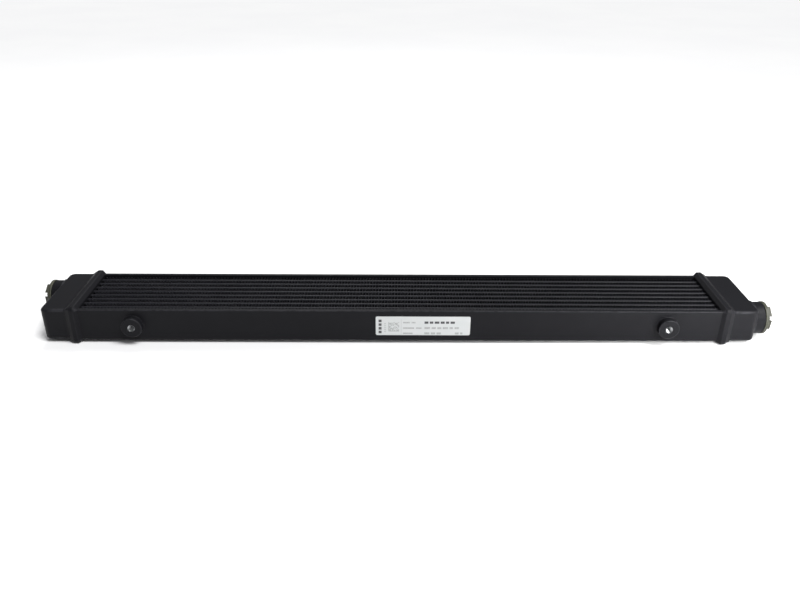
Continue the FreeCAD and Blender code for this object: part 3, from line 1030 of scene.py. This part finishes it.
def weld_bead():
    """The weld round the collar's foot: overlapping drops that follow the tank's soft edges."""
    bead = bmesh.new()
    ring = bmesh.ops.create_circle(bead, radius=WELD_RADIUS, segments=10)["verts"]
    bmesh.ops.rotate(bead, cent=(0, 0, 0), matrix=Matrix.Rotation(math.pi / 2, 3, "X"), verts=ring)
    start = Vector((TANK_END, PORT_Y, MID_HEIGHT))
    bmesh.ops.translate(bead, vec=start + ALONG_Z * (PORT_RADIUS + 0.1), verts=ring)
    bmesh.ops.spin(bead, geom=bead.verts[:] + bead.edges[:], cent=start, axis=ALONG_X,
                   dvec=(0, 0, 0), angle=FULL_TURN, steps=240, use_merge=True)
    bmesh.ops.remove_doubles(bead, verts=bead.verts, dist=1e-4)
    bmesh.ops.recalc_face_normals(bead, faces=bead.faces)
    for point in bead.verts:
        out = Vector((0, point.co.y - PORT_Y, point.co.z - MID_HEIGHT))
        angle = math.atan2(out.y, out.z)
        foot = start + out.normalized() * (PORT_RADIUS + 0.1)
        phase = (angle / FULL_TURN * WELD_DROPS + 0.22 * (point.co - foot).x) % 1.0
        swell = 0.82 + 0.26 * math.sin(math.pi * phase) ** 0.7
        point.co = foot + (point.co - foot) * swell
        past_rim = max(abs(foot.z - MID_HEIGHT) - (CORE_TOP - MID_HEIGHT - TANK_EDGE), 0.0)
        past_side = max(abs(foot.y) - (HALF_STACK - TANK_CORNER), 0.0)
        drop = TANK_EDGE - math.sqrt(max(TANK_EDGE ** 2 - past_rim ** 2, 0.0))
        drop += TANK_CORNER - math.sqrt(TANK_CORNER ** 2 - past_side ** 2)
        point.co.x -= drop
    return bead


collar_shape = port_collar()
port_thread_shape = port_thread()
bead_shape = weld_bead()
for side, shaped in (("left", turned_end_for_end), ("right", bmesh.types.BMesh.copy)):
    place_piece(f"{side}_port_collar", shaped(collar_shape), "root", [f"{side}_port"],
                [satin_black_coat, cut_aluminium])
    place_piece(f"{side}_port_thread", shaped(port_thread_shape), "root", [], [cut_aluminium])
    place_piece(f"{side}_port_weld", shaped(bead_shape), "root", [], [satin_black_coat],
                70)

# ------------------------------------------------------------------------------ seals and plugs
RING_RADIUS = 11.1
RING_SECTION = 0.8
SHANK_RADIUS = 10.06
SHANK_CREST = 10.82
SHANK_LENGTH = 11.0
INNER_RADIUS = 8.2
FLANGE_RADIUS = 15.5
FLANGE_THICKNESS = 2.8
FLANGE_GAP = 0.1
HEAD_LENGTH = 4.7
HEAD_CORNER = 12.2
SLOT_WIDTH = 3.6
SLOT_DEPTH = 2.5
PLUG_FLOOR = 1.6
RIGHT_PLUG_TURN = 22.0
LEFT_PLUG_TURN = 30.0


def seal_ring():
    """An O-ring, with the fine parting line of its mould."""
    middle = Vector((PORT_END - SEAT_DEPTH / 2, PORT_Y, MID_HEIGHT))
    section = rounded(0, RING_RADIUS, RING_SECTION, 0, 345, 23)
    return turned(section, middle, ALONG_X, 96, True)


def plug_body():
    """Everything on the plug that is turned: hollow shank and flange with soft edges."""
    face = PORT_END + FLANGE_GAP
    start = Vector((face, PORT_Y, MID_HEIGHT))
    depth = FLANGE_THICKNESS + HEAD_LENGTH - SLOT_DEPTH - PLUG_FLOOR
    soft = 0.5
    outline = [(depth, 0), (depth, INNER_RADIUS - 0.8), (depth - 0.24, INNER_RADIUS - 0.24),
               (depth - 0.8, INNER_RADIUS), (-SHANK_LENGTH + 0.3, INNER_RADIUS),
               (-SHANK_LENGTH, INNER_RADIUS + 0.3)]
    outline += [(-SHANK_LENGTH, SHANK_RADIUS - 0.55), (-SHANK_LENGTH + 0.5, SHANK_RADIUS),
                (-0.25, SHANK_RADIUS - 0.06), (0, SHANK_RADIUS + 0.2)]
    outline += rounded(soft, FLANGE_RADIUS - soft, soft, 180, 90, 4)
    outline += rounded(FLANGE_THICKNESS - soft, FLANGE_RADIUS - soft, soft, 90, 0, 4)
    outline += [(FLANGE_THICKNESS, 6.0), (FLANGE_THICKNESS + 1.0, 6.0),
                (FLANGE_THICKNESS + 1.0, 0)]
    return turned(outline, start, ALONG_X, PORT_STEPS)


def plug_head(turn):
    """The hexagon with its corners turned off and a driver slot, moulded with soft edges."""
    face = PORT_END + FLANGE_GAP + FLANGE_THICKNESS
    top = face + HEAD_LENGTH
    foot = 0.3
    centre = Vector((face - foot, PORT_Y, MID_HEIGHT))
    head = bmesh.new()
    ring = bmesh.ops.create_circle(head, radius=HEAD_CORNER, segments=6, cap_ends=True)["verts"]
    bmesh.ops.rotate(head, cent=(0, 0, 0), matrix=UPRIGHT, verts=ring)
    lean = Matrix.Rotation(math.radians(90 - turn), 3, "X")
    bmesh.ops.rotate(head, cent=(0, 0, 0), matrix=lean, verts=ring)
    drawn = bmesh.ops.extrude_face_region(head, geom=head.faces[:])["geom"]
    bmesh.ops.translate(head, vec=(HEAD_LENGTH + foot, 0, 0),
                        verts=corners_in(drawn))
    bmesh.ops.holes_fill(head, edges=[edge for edge in head.edges if edge.is_boundary], sides=6)
    move(head, centre)
    bmesh.ops.recalc_face_normals(head, faces=head.faces)
    soften(head, edges_along_x(head), 0.45, 4)
    cone = turned([(-1, 0), (-1, HEAD_CORNER + 6.3), (HEAD_LENGTH + foot + 1.0, HEAD_CORNER - 1.6),
                   (HEAD_LENGTH + foot + 1.0, 0)], centre, ALONG_X, PORT_STEPS)
    slot = block((top - SLOT_DEPTH, -2 * HEAD_CORNER, -SLOT_WIDTH / 2),
                 (top + 1, 2 * HEAD_CORNER, SLOT_WIDTH / 2))
    bmesh.ops.rotate(slot, cent=(0, 0, 0), matrix=Matrix.Rotation(math.radians(-turn), 3, "X"),
                     verts=slot.verts)
    move(slot, (0, PORT_Y, MID_HEIGHT))
    head = combined(head, [cone], "INTERSECT")
    head = combined(head, [slot], "DIFFERENCE")
    bmesh.ops.dissolve_limit(head, angle_limit=math.radians(1.5), verts=head.verts,
                             edges=head.edges)
    top_edges = [edge for edge in head.edges if len(edge.link_faces) == 2
                 and edge.calc_face_angle(0) > math.radians(35)
                 and max(corner.co.x for corner in edge.verts) > face + 0.5]
    soften(head, top_edges, 0.22, 2)
    for corner in head.verts:
        corner.co.x = min(corner.co.x, top)
    return head


def plug_thread():
    """The moulded M22 thread on the shank, half a pitch off the collar's own."""
    start = Vector((PORT_END + FLANGE_GAP - SHANK_LENGTH + 0.75, PORT_Y, MID_HEIGHT))
    section = [(0, SHANK_RADIUS - 0.04), (0.42, SHANK_CREST), (0.62, SHANK_CREST),
               (1.04, SHANK_RADIUS - 0.04)]
    return thread_ridge(section, start, ALONG_X, PORT_PITCH, 5, 48)


for side, turn in (("left", -LEFT_PLUG_TURN), ("right", RIGHT_PLUG_TURN)):
    plug_shape = joined(plug_body(), plug_head(turn), plug_thread())
    ring_shape = seal_ring()
    if side == "left":
        plug_shape = turned_end_for_end(plug_shape)
        ring_shape = turned_end_for_end(ring_shape)
    place_piece(f"{side}_plug_moulding", plug_shape, f"{side}_plug", [f"{side}_port_plug"],
                [olive_plastic], 32)
    place_piece(f"{side}_plug_o_ring", ring_shape, f"{side}_seal", [f"{side}_plug_seal"],
                [seal_rubber], 80)

# ------------------------------------------------------------------------------ label
LABEL_CORNER = 1.5
PRINT_LIFT = 0.012


def label_card():
    """The stuck-on film, with round corners and a soft edge."""
    card = block(label_low, label_high)
    corners = [edge for edge in card.edges if abs((edge.verts[0].co - edge.verts[1].co).y) > 0.1]
    soften(card, corners, LABEL_CORNER, 8)
    rim = edges_where(card, lambda at: at.y < label_low.y + 0.01)
    soften(card, [edge for edge in rim if edge.calc_length() > 0.01], 0.05, 1)
    return card


def print_blocks(blocks):
    """Small printed rectangles: each is (left, right, bottom, top) on the label, from 0 to 1."""
    print_shape = bmesh.new()
    width = label_high.x - label_low.x
    height = label_high.z - label_low.z
    for left, right, bottom, top in blocks:
        middle = Vector((label_low.x + width * (left + right) / 2, label_low.y - PRINT_LIFT / 2,
                         label_low.z + height * (bottom + top) / 2))
        size = Vector((width * (right - left), PRINT_LIFT, height * (top - bottom)))
        stamp = bmesh.ops.create_cube(print_shape, size=1)["verts"]
        bmesh.ops.scale(print_shape, vec=size, verts=stamp)
        bmesh.ops.translate(print_shape, vec=middle, verts=stamp)
    return print_shape


def word_bars(left, right, bottom, top, lengths):
    """A printed line with no letters in it: plain bars of given lengths with gaps between."""
    bars = []
    total = sum(lengths) + 0.35 * (len(lengths) - 1)
    unit = (right - left) / total
    start = left
    for length in lengths:
        bars.append((start, start + unit * length, bottom, top))
        start += unit * (length + 0.35)
    return bars


# The code's square on the label, from 0 to 1.
CODE_LEFT, CODE_RIGHT = 0.133, 0.247
CODE_BOTTOM, CODE_TOP = 0.20, 0.71
CODE_CELLS = 12

dice = random.Random(7)
code_squares = []
side_x = (CODE_RIGHT - CODE_LEFT) / CODE_CELLS
side_z = (CODE_TOP - CODE_BOTTOM) / CODE_CELLS
for row in range(CODE_CELLS):
    for column in range(CODE_CELLS):
        on_frame = column == 0 or row == 0
        if on_frame or dice.random() < 0.5:
            code_squares.append((CODE_LEFT + side_x * column, CODE_LEFT + side_x * (column + 1),
                                 CODE_BOTTOM + side_z * row, CODE_BOTTOM + side_z * (row + 1)))
dark_blocks = [(0.030, 0.062, 0.10 + 0.2 * step, 0.24 + 0.2 * step) for step in range(4)]
dark_blocks += word_bars(0.515, 0.835, 0.625, 0.745, [1.0, 0.9, 1.2, 1.0, 0.8, 1.1])
grey_blocks = [(0.092, 0.104, 0.16 + 0.11 * step, 0.22 + 0.11 * step) for step in range(5)]
grey_blocks += [(0.268, 0.271, 0.03, 0.86)]
grey_blocks += word_bars(0.288, 0.42, 0.64, 0.72, [1.4, 0.8])
grey_blocks += word_bars(0.288, 0.485, 0.345, 0.425, [2.0, 1.0])
grey_blocks += word_bars(0.288, 0.39, 0.06, 0.14, [1.0])
grey_blocks += word_bars(0.515, 0.88, 0.335, 0.445, [1.3, 1.0, 0.9, 1.2, 0.8, 1.0])
grey_blocks += word_bars(0.515, 0.69, 0.045, 0.155, [1.2, 1.0, 1.0])
grey_blocks += word_bars(0.84, 0.92, 0.045, 0.155, [1.0, 0.6])

place_piece("label_card", label_card(), "root", ["label"], [white_film])
place_piece("label_dark_print", print_blocks(dark_blocks), "root", [], [dark_print])
place_piece("label_grey_print", print_blocks(grey_blocks + code_squares), "root", [],
            [grey_print])

# ------------------------------------------------------------------------------ studio
floor_mesh = bmesh.new()
bmesh.ops.create_grid(floor_mesh, x_segments=1, y_segments=1, size=14)
floor_data = bpy.data.meshes.new("floor")
floor_mesh.to_mesh(floor_data)
floor_mesh.free()
floor_data.materials.append(floor_paint())
floor = bpy.data.objects.new("floor", floor_data)
bpy.context.scene.collection.objects.link(floor)

world = bpy.data.worlds.new("studio")
world.use_nodes = True
world.node_tree.nodes["Background"].inputs["Color"].default_value = (0.97, 0.98, 1.0, 1)
world.node_tree.nodes["Background"].inputs["Strength"].default_value = 0.21
bpy.context.scene.world = world
bpy.context.scene.view_settings.view_transform = "Standard"


def softbox(name, place, target, size, power):
    """A square area light aimed at a point."""
    lamp = bpy.data.lights.new(name, "AREA")
    lamp.shape = "SQUARE"
    lamp.size = size
    lamp.energy = power
    box = bpy.data.objects.new(name, lamp)
    box.location = place
    box.rotation_euler = (Vector(target) - Vector(place)).to_track_quat("-Z", "Y").to_euler()
    bpy.context.scene.collection.objects.link(box)


daylight_lamp = bpy.data.lights.new("overhead_daylight", "SUN")
daylight_lamp.energy = 3.1
daylight_lamp.angle = math.radians(28)
daylight = bpy.data.objects.new("overhead_daylight", daylight_lamp)
daylight.rotation_euler = Vector((-0.45, 0.28, -0.85)).to_track_quat("-Z", "Y").to_euler()
bpy.context.scene.collection.objects.link(daylight)
softbox("right_softbox", (0.75, -0.05, 0.36), (0.45, -0.20, 0.0), 0.4, 1.2)
softbox("low_right_softbox", (0.36, -0.27, 0.15), (0.36, -0.27, 0.0), 0.16, 2.1)
softbox("back_softbox", (-0.15, 0.65, 1.0), (0.0, 0.0, 0.0), 0.6, 8.0)
